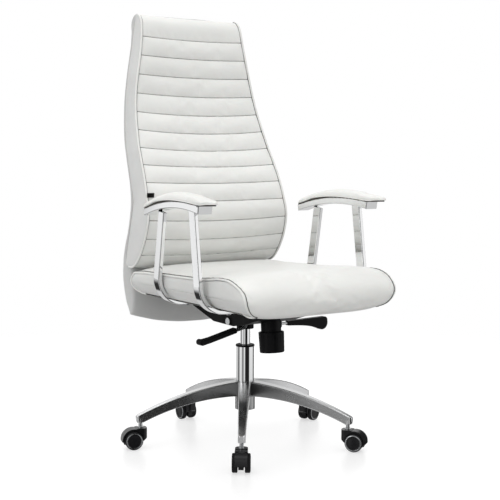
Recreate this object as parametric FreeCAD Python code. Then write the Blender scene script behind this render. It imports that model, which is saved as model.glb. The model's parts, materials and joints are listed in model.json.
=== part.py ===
import FreeCAD
import Part
import math
import os

# Swivel office chair with a high ribbed back. Sizes are in millimetres.
# Origin: on the floor under the gas lift axis. +Z is up, the front of the chair is -Y,
# and +X is on the sitter's left.

V = FreeCAD.Vector
X_AXIS = V(1, 0, 0)
Y_AXIS = V(0, 1, 0)
Z_AXIS = V(0, 0, 1)

CLEAR = 0.05            # radial clearance of a running fit
GAP = 0.3               # gap between parts that only lie against each other

# Star base
ARM_ANGLES = (0, 72, 144, -144, -72)
ARM_TURN = 36           # the front pair of arms straddles the front of the chair
STEM_CIRCLE = 300       # radius of the circle of caster stems
BASE_TIP = 313
HUB_R = 30
HUB_TOP = 173
HUB_FOOT = 130
SLEEVE_R = 28
SLEEVE_FOOT = 93
ARM_ROOT_W = 36
ARM_TIP_W = 19

# Casters
WHEEL_R = 25
WHEEL_IN = 9.5          # inner and outer faces of a wheel, from the caster's mid plane
WHEEL_OUT = 24
TRAIL = 21              # axle behind the stem
HOOD_R = 32
HOOD_IN_R = 26.6
HOOD_TOP = 58
HOOD_HALF = 16.5
WEB_HALF = 7
STEM_R = 5.5
STEM_TOP = 86
AXLE_R = 4

# Gas lift
TUBE_R = 25
TUBE_WALL = 2
TUBE_FOOT = 95
TUBE_TOP = 271
COLUMN_R = 14
COLUMN_FOOT = 122
COLUMN_TOP = 366
ROD_R = 5

# Tilt mechanism
PIVOT = (-38, 352)      # Y and Z of the tilt pivot
PIN_R = 6
PAN_HALF = 80
SHEET = 3
PLATE_Z = 408           # underside of the seat plate
KNOB_Y = -124
KNOB_LEAN = 5           # the knob's foot leans forward, in degrees
KNOB_R = 35
CUP_R = 27.5
SHAFT_X = -32           # cross shaft of the height lever
SHAFT_Z = 338
SHAFT_R = 4
LOCK_Y = -60            # rod of the tilt lock lever
LOCK_Z = 335

# Seat
SEAT_HALF = 249
SEAT_BOTTOM = 412.5
SEAT_TUCK = 56          # radius of the round under each side of the seat
BOARD_T = 12
BOARD_HALF = 190
PLATE_BOLTS = [(x, y) for x in (-62, 62) for y in (-150, 120)]

# Back
BACK_TOP = 1215
BACK_FOOT = 486         # underside of the back cushion
SHELL_FOOT = 308
BOARD_TOP = 1160        # back board
BOARD_FOOT = 530
BAR_X = (-150, 115)     # near edge of each back bar
BAR_W = 35
BAR_T = 6
BAR_TOP = 600

# Arms
RAIL_X = 266
RAIL_W = 42
ARM_MID_Y = -72
ARM_SPLAY = 2.4         # the rails spread a little towards the front, in degrees
LEG_W = 30
LEG_T = 12
LEG_ROUND = 2.5
BEND_R = 76             # outer radius of the leg's bend under the seat
FOOT_Z = 400
FOOT_END = 130
LEG_FEET = (36, -184)   # Y of each leg's foot
SCREW_R = 3.5
SCREW_X = (142, 176)
RAIL_TOP = [(78, 660), (-72, 687), (-222, 679)]     # Y and Z of the rail's arched top
PAD_HALF = 25
PAD_BOARD_HALF = 19
PAD_BOARD_T = 4


def cylinder(radius, foot, top, x=0, y=0):
    return Part.makeCylinder(radius, top - foot, V(x, y, foot))


def box(x0, x1, y0, y1, z0, z1):
    return Part.makeBox(x1 - x0, y1 - y0, z1 - z0, V(x0, y0, z0))


def rod(radius, start, end):
    run = V(*end) - V(*start)
    return Part.makeCylinder(radius, run.Length, V(*start), run)


def on_yz(point):
    return V(0, point[0], point[1])


def on_xz(point):
    return V(point[0], 0, point[1])


def on_xy(point):
    return V(point[0], point[1], 0)


def lines(points, place):
    """Straight edges through the points, in order."""
    return [Part.makeLine(place(a), place(b)) for a, b in zip(points, points[1:])]


def arc(a, b, c, place):
    return [Part.Arc(place(a), place(b), place(c)).toShape()]


def curve(points, place):
    """One smooth edge through the points."""
    spline = Part.BSplineCurve()
    spline.interpolate([place(p) for p in points])
    return [spline.toShape()]


def slab(edges, direction, start, end):
    """The closed outline made by the edges, extruded from start to end along direction."""
    face = Part.Face(Part.Wire(Part.__sortEdges__(edges)))
    face.translate(direction * start)
    return face.extrude(direction * (end - start))


def polygon(points, place, direction, start, end):
    return slab(lines(points + points[:1], place), direction, start, end)


def rounded_rect(half_x, y0, y1, front_r, rear_r, place=on_xy):
    """Edges of a rectangle with rounded corners; y0 is its front."""
    s = math.sqrt(0.5)
    edges = []
    for side in (-1, 1):
        x = side * half_x
        front_x = side * (half_x - front_r)
        rear_x = side * (half_x - rear_r)
        front_middle = (front_x + side * front_r * s, y0 + front_r * (1 - s))
        rear_middle = (rear_x + side * rear_r * s, y1 - rear_r * (1 - s))
        edges += arc((front_x, y0), front_middle, (x, y0 + front_r), place)
        edges += lines([(x, y0 + front_r), (x, y1 - rear_r)], place)
        edges += arc((x, y1 - rear_r), rear_middle, (rear_x, y1), place)
    edges += lines([(-half_x + front_r, y0), (half_x - front_r, y0)], place)
    edges += lines([(-half_x + rear_r, y1), (half_x - rear_r, y1)], place)
    return edges


def turned(shape, degrees, axis=Z_AXIS, centre=V(0, 0, 0)):
    copy = shape.copy()
    copy.rotate(centre, axis, degrees)
    return copy


def mirrored(shape):
    return shape.mirror(V(0, 0, 0), X_AXIS)


def fused(shapes):
    body = shapes[0]
    for shape in shapes[1:]:
        body = body.fuse(shape)
    return body


# ---- star base -------------------------------------------------------------

def base_arm():
    """One arm along -Y: a slender arched beam whose tip turns down to the caster stem."""
    top = arc((20, 173), (165, 147), (BASE_TIP, 91), on_yz)
    tip = lines([(BASE_TIP, 91), (BASE_TIP - 2, 74), (BASE_TIP - 24, 74)], on_yz)
    under = arc((BASE_TIP - 24, 74), (160, 117), (20, 131), on_yz)
    root = lines([(20, 131), (20, 173)], on_yz)
    beam = slab(top + tip + under + root, X_AXIS, -ARM_ROOT_W, ARM_ROOT_W)
    half_root = ARM_ROOT_W / 2
    half_tip = ARM_TIP_W / 2
    round_y = BASE_TIP - 8
    plan = lines([(-half_tip, round_y), (-half_root, 20), (half_root, 20), (half_tip, round_y)], on_xy)
    plan += arc((half_tip, round_y), (0, BASE_TIP + 1), (-half_tip, round_y), on_xy)
    beam = beam.common(slab(plan, Z_AXIS, 0, 250))
    long_edges = [e for e in beam.Edges if e.BoundBox.YLength > 200]
    return turned(beam.makeFillet(3, long_edges), 180)


def star_base():
    hub = cylinder(HUB_R, HUB_FOOT, HUB_TOP)
    hub = hub.makeFillet(3, [e for e in hub.Edges if e.BoundBox.ZMin > HUB_TOP - 1])
    sleeve = cylinder(SLEEVE_R, SLEEVE_FOOT, HUB_FOOT + 1)
    arm = base_arm().fuse(cylinder(ARM_TIP_W / 2 + 0.5, 72, 84, 0, -STEM_CIRCLE))
    bore = cylinder(STEM_R + CLEAR, 70, STEM_TOP + 0.5, 0, -STEM_CIRCLE)
    arms = [turned(arm.cut(bore), angle + ARM_TURN) for angle in ARM_ANGLES]
    body = fused([hub, sleeve] + arms)
    return body.cut(cylinder(TUBE_R, SLEEVE_FOOT - 5, HUB_TOP + 5))


# ---- casters ---------------------------------------------------------------

def on_circle(radius, degrees, centre=(TRAIL, WHEEL_R)):
    angle = math.radians(degrees)
    return (centre[0] + radius * math.cos(angle), centre[1] + radius * math.sin(angle))


def caster_hood():
    """Fender over both wheels, a flat stem boss inboard and a web between the wheels."""
    start = on_circle(HOOD_R, 100)
    lip = on_circle(HOOD_R, -5)
    inner_lip = on_circle(HOOD_IN_R, -5)
    inner_end = on_circle(HOOD_IN_R, 184)
    outline = arc(start, on_circle(HOOD_R, 45), lip, on_xz)
    outline += lines([lip, inner_lip], on_xz)
    outline += arc(inner_lip, on_circle(HOOD_IN_R, 90), inner_end, on_xz)
    outline += lines([inner_end, (-17, 31), (-17, HOOD_TOP), (start[0] - 4, HOOD_TOP), start], on_xz)
    fender = slab(outline, Y_AXIS, -HOOD_HALF, HOOD_HALF)
    plan = rounded_rect(HOOD_HALF, -17, TRAIL + HOOD_R + 1, 12, 5, lambda p: V(p[1], p[0], 0))
    fender = fender.common(slab(plan, Z_AXIS, 0, 70))
    web = Part.makeCylinder(HOOD_IN_R + 1, 2 * WEB_HALF, V(TRAIL, -WEB_HALF, WHEEL_R), Y_AXIS)
    web = web.cut(box(-20, 60, -20, 20, -10, 13))
    body = fused([fender, web])
    axle_hole = Part.makeCylinder(AXLE_R, 60, V(TRAIL, -30, WHEEL_R), Y_AXIS)
    return body.cut(axle_hole).cut(cylinder(STEM_R, 44, HOOD_TOP + 5))


def caster_stem():
    pin = cylinder(STEM_R, 44, STEM_TOP)
    pin = pin.makeChamfer(1, [e for e in pin.Edges if e.BoundBox.ZMin > STEM_TOP - 1])
    return fused([pin, cylinder(STEM_R + 2.5, HOOD_TOP, HOOD_TOP + 2)])


def caster_axle():
    return Part.makeCylinder(AXLE_R, 2 * (WHEEL_OUT - 3), V(TRAIL, -(WHEEL_OUT - 3), WHEEL_R), Y_AXIS)


def caster_wheel(side):
    """Wheel with a rounded tread, a dished outer face and a blind bore for the axle."""
    rim = WHEEL_R - 2
    outline = lines([(0, WHEEL_OUT - 1.5), (0, WHEEL_IN), (rim, WHEEL_IN)], on_xy)
    outline += arc((rim, WHEEL_IN), (WHEEL_R - 0.6, WHEEL_IN + 0.6), (WHEEL_R, WHEEL_IN + 2), on_xy)
    outline += lines([(WHEEL_R, WHEEL_IN + 2), (WHEEL_R, WHEEL_OUT - 3)], on_xy)
    outline += arc((WHEEL_R, WHEEL_OUT - 3), (WHEEL_R - 0.9, WHEEL_OUT - 0.9), (rim - 1, WHEEL_OUT), on_xy)
    outline += lines([(rim - 1, WHEEL_OUT), (rim - 3, WHEEL_OUT), (rim - 4, WHEEL_OUT - 1.5)], on_xy)
    outline += lines([(rim - 4, WHEEL_OUT - 1.5), (0, WHEEL_OUT - 1.5)], on_xy)
    face = Part.Face(Part.Wire(Part.__sortEdges__(outline)))
    wheel = face.revolve(V(0, 0, 0), Y_AXIS, 360)
    bore = Part.makeCylinder(AXLE_R + CLEAR, 40, V(0, -20 + WHEEL_OUT - 2.7 - 20, 0), Y_AXIS)
    wheel = wheel.cut(bore)
    if side < 0:
        wheel = wheel.mirror(V(0, 0, 0), Y_AXIS)
    wheel.translate(V(TRAIL, 0, WHEEL_R))
    return wheel


def caster(number, angle):
    """Five pieces of one caster, trailing straight outwards from its arm."""
    pieces = {
        "hood": caster_hood(),
        "stem": caster_stem(),
        "axle": caster_axle(),
        "wheel_left": caster_wheel(1),
        "wheel_right": caster_wheel(-1),
    }
    placed = {}
    for name, shape in pieces.items():
        moved = turned(shape, -90)
        moved.translate(V(0, -STEM_CIRCLE, 0))
        placed["caster_%d_%s" % (number, name)] = turned(moved, angle + ARM_TURN)
    return placed


# ---- gas lift --------------------------------------------------------------

def gas_lift_tube():
    tube = cylinder(TUBE_R, TUBE_FOOT, TUBE_TOP)
    tube = tube.cut(cylinder(TUBE_R - TUBE_WALL, TUBE_FOOT + 4, TUBE_TOP + 1))
    return tube.cut(cylinder(ROD_R + CLEAR, TUBE_FOOT - 1, TUBE_FOOT + 5))


def guide_bush():
    flange = cylinder(TUBE_R + 1.5, TUBE_TOP, TUBE_TOP + 5)
    flange = flange.makeFillet(1.2, [flange.Edges[0]])
    bush = fused([cylinder(TUBE_R - TUBE_WALL, TUBE_TOP - 56, TUBE_TOP), flange])
    return bush.cut(cylinder(COLUMN_R + CLEAR, TUBE_TOP - 60, TUBE_TOP + 10))


def thrust_bearing():
    return cylinder(12, TUBE_FOOT + 4, TUBE_FOOT + 9).cut(cylinder(ROD_R + CLEAR, TUBE_FOOT, TUBE_FOOT + 12))


def piston_rod():
    collar = cylinder(9, TUBE_FOOT + 9.05, TUBE_FOOT + 12)
    piston = cylinder(10.8, 300, 312)
    groove = cylinder(ROD_R + 2, 89, 91).cut(cylinder(ROD_R - 1, 88, 92))
    return fused([cylinder(ROD_R, 80, 312), collar, piston]).cut(groove)


def rod_clip():
    clip = cylinder(9, 89.1, 90.9).cut(cylinder(ROD_R - 1, 88, 92))
    return clip.cut(box(-ROD_R + 1.5, ROD_R - 1.5, -12, 0, 88, 92))


def rubber_buffer():
    return cylinder(11, TUBE_FOOT + 12, COLUMN_FOOT - 1).cut(cylinder(ROD_R, TUBE_FOOT, COLUMN_FOOT))


def gas_cylinder():
    """Chrome column with a tapered top; hollow, with a gland around the piston rod."""
    straight = cylinder(COLUMN_R, COLUMN_FOOT, 320)
    taper = Part.makeCone(COLUMN_R, COLUMN_R - 0.8, COLUMN_TOP - 320, V(0, 0, 320))
    body = fused([straight, taper])
    body = body.cut(cylinder(11, COLUMN_FOOT + 10, 336))
    body = body.cut(cylinder(ROD_R + CLEAR, COLUMN_FOOT - 1, COLUMN_FOOT + 12))
    return body.cut(cylinder(SHAFT_R + CLEAR, 345, COLUMN_TOP + 1))


def release_button():
    pin = cylinder(SHAFT_R, 352, 374)
    return pin.makeFillet(0.8, [e for e in pin.Edges if e.BoundBox.ZMin > 373])


# ---- tilt mechanism --------------------------------------------------------

def tilt_yoke():
    """Cast socket on the column, with a pivot boss and a nose over the tilt spring."""
    socket = cylinder(24, 322, COLUMN_TOP)
    boss = Part.makeCylinder(11, 44, V(-22, PIVOT[0], PIVOT[1]), X_AXIS)
    web = box(-20, 20, PIVOT[0], -10, 341, 366)
    nose = box(-18, 18, KNOB_Y, -16, 368, 380)
    pad = cylinder(18, 352, 380, 0, KNOB_Y)
    riser = box(-18, 18, -49, -16, 352, 370)
    ear = box(SHAFT_X - 9, -15, -30, -20, SHAFT_Z - 8, 354)
    body = fused([socket, boss, web, nose, pad, riser, ear])
    taper = Part.makeCone(COLUMN_R, COLUMN_R - 0.8, COLUMN_TOP - 320, V(0, 0, 320))
    body = body.cut(taper)
    body = body.cut(Part.makeCylinder(PIN_R + CLEAR, 60, V(-30, PIVOT[0], PIVOT[1]), X_AXIS))
    return body.cut(Part.makeCylinder(SHAFT_R + CLEAR, 80, V(SHAFT_X, -60, SHAFT_Z), Y_AXIS))


def pan_outline(inset):
    """Side outline of the pressed pan, in Y and Z; inset moves the floor up."""
    return [
        (-186 + inset, PLATE_Z), (-180 + inset, 372 + inset), (-125, 355 + inset), (-60, 341 + inset),
        (40, 343 + inset), (150, 376 + inset), (160 - inset, 390), (160 - inset, PLATE_Z),
    ]


def leaning(shape):
    return turned(shape, -KNOB_LEAN, X_AXIS, V(0, KNOB_Y, 345))


def spring_cup_blank(top):
    return leaning(cylinder(CUP_R, 290, top, 0, KNOB_Y))


def tilt_housing():
    """Pressed steel pan, open at the top, with rails for the seat plate and a lock lever lug."""
    outer = polygon(pan_outline(0), on_yz, X_AXIS, -PAN_HALF, PAN_HALF)
    inner = polygon(pan_outline(SHEET), on_yz, X_AXIS, SHEET - PAN_HALF, PAN_HALF - SHEET)
    flanges = [box(x, x + 18, -186, 160, PLATE_Z - SHEET, PLATE_Z) for x in (-PAN_HALF - 15, PAN_HALF - 3)]
    lug = box(56, 76, LOCK_Y - 11, LOCK_Y + 11, LOCK_Z - 8, 345)
    body = fused([outer.cut(inner), lug] + flanges)
    body = body.cut(box(-46, 46, -62, 44, 335, 350))
    body = body.cut(spring_cup_blank(380))
    body = body.cut(rod(PIN_R, (-100, PIVOT[0], PIVOT[1]), (100, PIVOT[0], PIVOT[1])))
    return body.cut(rod(SHAFT_R + CLEAR, (50, LOCK_Y, LOCK_Z), (90, LOCK_Y, LOCK_Z)))


def pivot_pin():
    pin = rod(PIN_R, (-PAN_HALF - 2, PIVOT[0], PIVOT[1]), (PAN_HALF + 6, PIVOT[0], PIVOT[1]))
    head = rod(PIN_R + 4, (-PAN_HALF - 5, PIVOT[0], PIVOT[1]), (-PAN_HALF, PIVOT[0], PIVOT[1]))
    return fused([pin, head])


def spring_cup():
    """Deep cup welded into the pan, flush with the inside of its floor."""
    hollow = cylinder(CUP_R - 2.5, 293, 380, 0, KNOB_Y)
    hole = cylinder(ROD_R + CLEAR, 280, 300, 0, KNOB_Y)
    cup = spring_cup_blank(375).cut(leaning(hollow)).cut(leaning(hole))
    return cup.cut(polygon(pan_outline(SHEET), on_yz, X_AXIS, -PAN_HALF, PAN_HALF))


def tilt_spring():
    """Helical compression spring between the spring cup and the yoke's nose."""
    wire = 2.4
    turns = 9
    coil_r = 19
    foot = 293 + wire + GAP
    pitch = (352 - 2 * GAP - wire - foot) / turns
    helix = Part.makeHelix(pitch, pitch * turns, coil_r)
    profile = Part.Wire(Part.makeCircle(wire, V(coil_r, 0, 0), Y_AXIS))
    coil = Part.Wire(helix).makePipeShell([profile], True, True)
    coil.translate(V(0, KNOB_Y, foot))
    return leaning(coil)


def tension_bolt():
    return leaning(cylinder(ROD_R, 276, 326, 0, KNOB_Y))


def tension_knob():
    """Hollow tapered hand knob with shallow flutes, turning around the spring cup."""
    body = Part.makeCone(KNOB_R - 1.5, KNOB_R, 57, V(0, KNOB_Y, 272))
    body = body.makeFillet(3, [e for e in body.Edges if e.Closed])
    flute_circle = KNOB_R + 1.2
    for step in range(18):
        angle = math.radians(20 * step)
        x = flute_circle * math.cos(angle)
        y = KNOB_Y + flute_circle * math.sin(angle)
        body = body.cut(cylinder(2.6, 278, 322, x, y))
    body = body.cut(cylinder(CUP_R + 1.8, 285, 340, 0, KNOB_Y))
    body = body.cut(cylinder(ROD_R, 276, 290, 0, KNOB_Y))
    return leaning(body)


def crank_outline():
    return [(-26, 345), (-38, 345), (-42, 337), (-54, 333), (-104, 322), (-104, 315), (-50, 325), (-28, 331)]


def height_lever():
    """Cross shaft with a crank towards the grip and a finger over the release button."""
    shaft = rod(SHAFT_R, (SHAFT_X, -50, SHAFT_Z), (SHAFT_X, 7, SHAFT_Z))
    crank = polygon(crank_outline(), on_xz, Y_AXIS, -50, -44)
    finger = [(-38, 332), (-26, 332), (-29, 374.3), (7, 374.3), (7, 379), (-34, 379), (-38, 374)]
    return fused([shaft, crank, polygon(finger, on_xz, Y_AXIS, -6, 7)])


def height_lever_grip():
    """Flat drooping blade with a thicker rounded end."""
    upper = [(-66, 334), (-150, 314), (-172, 311)]
    lower = [(-175, 296), (-150, 301), (-66, 321)]
    edges = lines(upper, on_xz) + arc(upper[-1], (-185, 302.5), lower[0], on_xz)
    edges += lines(lower, on_xz) + lines([lower[-1], upper[0]], on_xz)
    blade = slab(edges, Y_AXIS, -60, -34)
    blade = blade.makeFillet(3.5, [e for e in blade.Edges if abs(e.BoundBox.YLength) < 1])
    return blade.cut(polygon(crank_outline(), on_xz, Y_AXIS, -50, -44))


def tilt_lock_lever():
    collar = rod(SHAFT_R + 1.5, (76.2, LOCK_Y, LOCK_Z), (79, LOCK_Y, LOCK_Z))
    end = rod(SHAFT_R + 1.5, (51, LOCK_Y, LOCK_Z), (55.8, LOCK_Y, LOCK_Z))
    return fused([rod(SHAFT_R, (51, LOCK_Y, LOCK_Z), (150, LOCK_Y, LOCK_Z)), collar, end])


def tilt_lock_paddle():
    """Blade that widens downwards to a rounded end."""
    edges = lines([(102, 328.5), (102, 341.5), (232, 344)], on_xz)
    edges += arc((232, 344), (240, 340), (242, 332), on_xz)
    edges += arc((242, 332), (236, 312), (215, 309), on_xz)
    edges += curve([(215, 309), (196, 316), (170, 322), (102, 328.5)], on_xz)
    blade = slab(edges, Y_AXIS, LOCK_Y - 7, LOCK_Y + 7)
    return blade.cut(rod(SHAFT_R, (90, LOCK_Y, LOCK_Z), (150, LOCK_Y, LOCK_Z)))


def seat_plate():
    plate = box(-110, 110, -170, 150, PLATE_Z, SEAT_BOTTOM - 0.5)
    for x, y in PLATE_BOLTS:
        plate = plate.cut(cylinder(4, PLATE_Z - 1, SEAT_BOTTOM, x, y))
    return plate


def seat_plate_bolts():
    bolts = []
    for x, y in PLATE_BOLTS:
        shank = cylinder(4, PLATE_Z, SEAT_BOTTOM + 9, x, y)
        head = cylinder(7, PLATE_Z - 5, PLATE_Z, x, y)
        bolts.append(fused([shank, head]))
    return Part.makeCompound(bolts)


# ---- seat ------------------------------------------------------------------

def seat_board_blank(grow):
    edges = rounded_rect(BOARD_HALF + grow, -315 - grow, 196 + grow, 60, 30)
    return slab(edges, Z_AXIS, SEAT_BOTTOM - grow, SEAT_BOTTOM + BOARD_T + grow)


def seat_board():
    """Plywood board, let into the underside of the seat cushion."""
    board = seat_board_blank(0)
    for x, y in PLATE_BOLTS:
        board = board.cut(cylinder(4, SEAT_BOTTOM - 1, SEAT_BOTTOM + 9, x, y))
    return board


def seat_cushion():
    """Crowned cushion with a rounded front that rolls down over the board."""
    top = curve([(211, 452), (196, 481), (149, 492), (0, 496), (-180, 502), (-292, 506), (-335, 493)], on_yz)
    front = curve([(-335, 493), (-357, 470), (-364, 445), (-356, 416), (-338, 399)], on_yz)
    foot = SEAT_BOTTOM + 0.7
    under = lines([(-338, 399), (-318, 401), (-300, foot), (205, foot), (211, 420), (211, 452)], on_yz)
    side_view = slab(top + front + under, X_AXIS, -260, 260)
    plan = slab(rounded_rect(SEAT_HALF, -366, 212, 28, 30), Z_AXIS, 380, 520)
    s = math.sqrt(0.5)
    low = 398
    edges = []
    for side in (-1, 1):
        x = side * SEAT_HALF
        cx = side * (SEAT_HALF - SEAT_TUCK)
        middle = (cx + side * SEAT_TUCK * s, foot + SEAT_TUCK * (1 - s))
        edges += arc((x, foot + SEAT_TUCK), middle, (cx, foot), on_xz)
        edges += arc((x, foot + SEAT_TUCK), (x - side * 2, 475), (x - side * 10, 484), on_xz)
    edges += arc((-SEAT_HALF + SEAT_TUCK, foot), (0, low), (SEAT_HALF - SEAT_TUCK, foot), on_xz)
    edges += arc((-SEAT_HALF + 10, 484), (0, 508), (SEAT_HALF - 10, 484), on_xz)
    front_view = slab(edges, Y_AXIS, -380, 230)
    return side_view.common(plan).common(front_view).cut(seat_board_blank(GAP))


# ---- back ------------------------------------------------------------------

# Side profiles of the back, each from the bottom to the top, in Y and Z
CUSHION_FACE = [
    (236, 488), (205, 491), (176, 508), (148, 534), (126, 582), (117, 634), (130, 690), (151, 745),
    (192, 822), (230, 925), (252, 1020), (261, 1110), (266, 1150), (271, 1180), (281, 1202), (296, 1213),
    (312, BACK_TOP - 1),
]
SHELL_FACE = [
    (248, 500), (236, 560), (226, 610), (222, 670), (240, 735), (270, 799), (293, 856), (317, 950),
    (327, 1040), (329, 1110), (326, 1155), (320, 1195),
]
SHELL_REAR = [
    (257, SHELL_FOOT), (279, 369), (297, 425), (297, 470), (281, 540), (262, 590), (252, 645), (254, 690),
    (270, 755), (310, 856), (336, 960), (345, 1040), (344, 1110), (343, 1157), (350, 1184), (345, 1201),
    (331, 1211), (313, BACK_TOP - 1),
]
# Front outline of the back, half width and height
BACK_SIDE = [(240, 486), (238, 600), (227, 788), (205, 960), (179, 1110), (170, 1180), (167, 1208)]


def shifted(points, dy):
    return [(y + dy, z) for y, z in points]


def back_outline(foot_edges, foot_z):
    """Front outline: two curved sides, a soft top edge, and a foot given by its own edges."""
    side = [(BACK_SIDE[0][0], foot_z)]
    side += [(x, z) for x, z in BACK_SIDE if z > foot_z + 60]
    top = side[-1]
    edges = curve(side, on_xz) + curve([(-x, z) for x, z in side], on_xz) + foot_edges
    edges += arc((-top[0], top[1]), (0, BACK_TOP + 1), top, on_xz)
    return slab(edges, Y_AXIS, 80, 400)


def back_board_blank(grow):
    inner = shifted(SHELL_FACE, -BOARD_T - grow)
    outer = shifted(SHELL_FACE, grow)
    edges = curve(inner, on_yz) + curve(outer, on_yz)
    edges += lines([inner[0], outer[0]], on_yz) + lines([inner[-1], outer[-1]], on_yz)
    panel = slab(edges, X_AXIS, -230, 230)
    foot = BOARD_FOOT - grow
    right = [(212 + grow, foot), (205 + grow, 780), (158 + grow, 1070), (140 + grow, BOARD_TOP + grow)]
    taper = right + [(-x, z) for x, z in reversed(right)]
    return panel.common(polygon(taper, on_xz, Y_AXIS, 80, 400))


def back_cushion():
    """Thick front cushion of the back, with its grey side gusset; the board lies in its rear face."""
    edges = curve(CUSHION_FACE, on_yz)
    edges += lines([CUSHION_FACE[-1], SHELL_FACE[-1]], on_yz)
    edges += curve(SHELL_FACE, on_yz) + lines([SHELL_FACE[0], CUSHION_FACE[0]], on_yz)
    side_view = slab(edges, X_AXIS, -250, 250)
    half = BACK_SIDE[0][0]
    corner = 34
    s = math.sqrt(0.5)
    foot_edges = lines([(-half + corner, BACK_FOOT), (half - corner, BACK_FOOT)], on_xz)
    for side in (-1, 1):
        cx = side * (half - corner)
        middle = (cx + side * corner * s, BACK_FOOT + corner * (1 - s))
        foot_edges += arc((cx, BACK_FOOT), middle, (side * half, BACK_FOOT + corner), on_xz)
    return side_view.common(back_outline(foot_edges, BACK_FOOT + corner)).cut(back_board_blank(GAP))


def back_board():
    """Bent plywood board between the cushion and the shell."""
    return back_board_blank(0).cut(back_bars_blank(GAP))


def back_bars_blank(grow):
    """Two flat steel bars, from under the seat board up the inside of the shell."""
    front = 60
    foot = 405
    rise = 246
    knee = 264
    outer = [(front, foot - grow), (rise + grow, foot - grow)]
    outer += [(knee + grow, 430), (rise + grow, BAR_TOP + grow)]
    inner = [(rise - BAR_T - grow, BAR_TOP + grow), (knee - BAR_T - grow, 430)]
    inner += [(242 - grow, foot + BAR_T + grow), (front, foot + BAR_T + grow)]
    bars = []
    for x in BAR_X:
        bars.append(polygon(outer + inner, on_yz, X_AXIS, x - grow, x + BAR_W + grow))
    return Part.makeCompound(bars)


def back_bars():
    return back_bars_blank(0)


def back_shell():
    """Padded rear shell with a skirt that hangs below the seat."""
    edges = curve(SHELL_REAR, on_yz)
    face = shifted(SHELL_FACE, GAP)
    edges += lines([SHELL_REAR[-1], face[-1]], on_yz)
    edges += curve(face, on_yz)
    edges += curve([face[0], (241, 470), (238, 400), (238, SHELL_FOOT)], on_yz)
    edges += lines([(238, SHELL_FOOT), SHELL_REAR[0]], on_yz)
    side_view = slab(edges, X_AXIS, -250, 250)
    foot_z = 365
    half = 232
    foot_edges = arc((-half + 20, 340), (0, SHELL_FOOT), (half - 20, 340), on_xz)
    for side in (-1, 1):
        foot_edges += arc((side * (half - 20), 340), (side * (half - 4), 348), (side * half, foot_z), on_xz)
        foot_edges += lines([(side * half, foot_z), (side * BACK_SIDE[0][0], foot_z + 1)], on_xz)
    return side_view.common(back_outline(foot_edges, foot_z + 1)).cut(back_bars_blank(GAP))


# ---- arms ------------------------------------------------------------------

def rail_arc(lift):
    return [(y, z + lift) for y, z in RAIL_TOP]


def arm_rail():
    top = rail_arc(0)
    foot = [(top[0][0] - 3, 643), (-72, 669), (top[2][0] + 4, 659)]
    edges = arc(top[0], top[1], top[2], on_yz) + arc(foot[0], foot[1], foot[2], on_yz)
    edges += lines([top[0], foot[0]], on_yz) + lines([top[2], foot[2]], on_yz)
    rail = slab(edges, X_AXIS, RAIL_X - RAIL_W / 2, RAIL_X + RAIL_W / 2)
    return rail.makeFillet(2.5, [e for e in rail.Edges if e.BoundBox.XLength < 1])


def arm_leg(top_y, top_z, bend_y):
    """Flat bar: down from the rail, then bent inwards to a foot under the seat."""
    outer_x = RAIL_X + LEG_T / 2
    inner_x = outer_x - LEG_T
    centre_x = outer_x - BEND_R
    centre_z = FOOT_Z + BEND_R
    small = BEND_R - LEG_T
    s = math.sqrt(0.5)
    foot_top = FOOT_Z + LEG_T
    outer_middle = (centre_x + BEND_R * s, centre_z - BEND_R * s)
    inner_middle = (centre_x + small * s, centre_z - small * s)
    edges = lines([(inner_x, centre_z), (outer_x, centre_z)], on_xz)
    edges += arc((outer_x, centre_z), outer_middle, (centre_x, FOOT_Z), on_xz)
    edges += lines([(centre_x, FOOT_Z), (FOOT_END, FOOT_Z)], on_xz)
    edges += lines([(FOOT_END, FOOT_Z), (FOOT_END, foot_top), (centre_x, foot_top)], on_xz)
    edges += arc((centre_x, foot_top), inner_middle, (inner_x, centre_z), on_xz)
    bend = slab(edges, Y_AXIS, bend_y - LEG_W / 2, bend_y + LEG_W / 2)
    along = [e for e in bend.Edges if e.BoundBox.YLength < 1 and e.BoundBox.XLength > LEG_T + 1]
    bend = bend.makeFillet(LEG_ROUND, along)
    lean = math.degrees(math.atan2(bend_y - top_y, top_z - centre_z))
    length = math.hypot(bend_y - top_y, top_z - centre_z)
    bar = box(inner_x, outer_x, bend_y - LEG_W / 2, bend_y + LEG_W / 2, centre_z - 2, centre_z + length)
    bar = bar.makeFillet(LEG_ROUND, [e for e in bar.Edges if e.BoundBox.ZLength > LEG_W + 1])
    return [bend, turned(bar, lean, X_AXIS, V(0, bend_y, centre_z))]


def arm_frame():
    """Chrome loop of the sitter's left arm: rail and two legs in one piece."""
    parts = [arm_rail()]
    parts += arm_leg(6, 655, LEG_FEET[0])
    parts += arm_leg(-158, 668, LEG_FEET[1])
    frame = fused(parts)
    for y in LEG_FEET:
        for x in SCREW_X:
            frame = frame.cut(cylinder(SCREW_R, FOOT_Z - 5, FOOT_Z + 15, x, y))
    return frame


def arm_pad_board():
    """Curved board under the pad; its front end runs out past the rail."""
    low = rail_arc(0)
    high = rail_arc(PAD_BOARD_T)
    tip = (-268, 681)
    edges = arc(low[0], low[1], low[2], on_yz)
    edges += lines([low[2], tip, (tip[0], tip[1] + PAD_BOARD_T), high[2]], on_yz)
    edges += arc(high[2], high[1], high[0], on_yz) + lines([high[0], low[0]], on_yz)
    board = slab(edges, X_AXIS, RAIL_X - PAD_BOARD_HALF, RAIL_X + PAD_BOARD_HALF)
    return board.common(pad_plan(PAD_HALF - 3, tip[0]))


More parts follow.
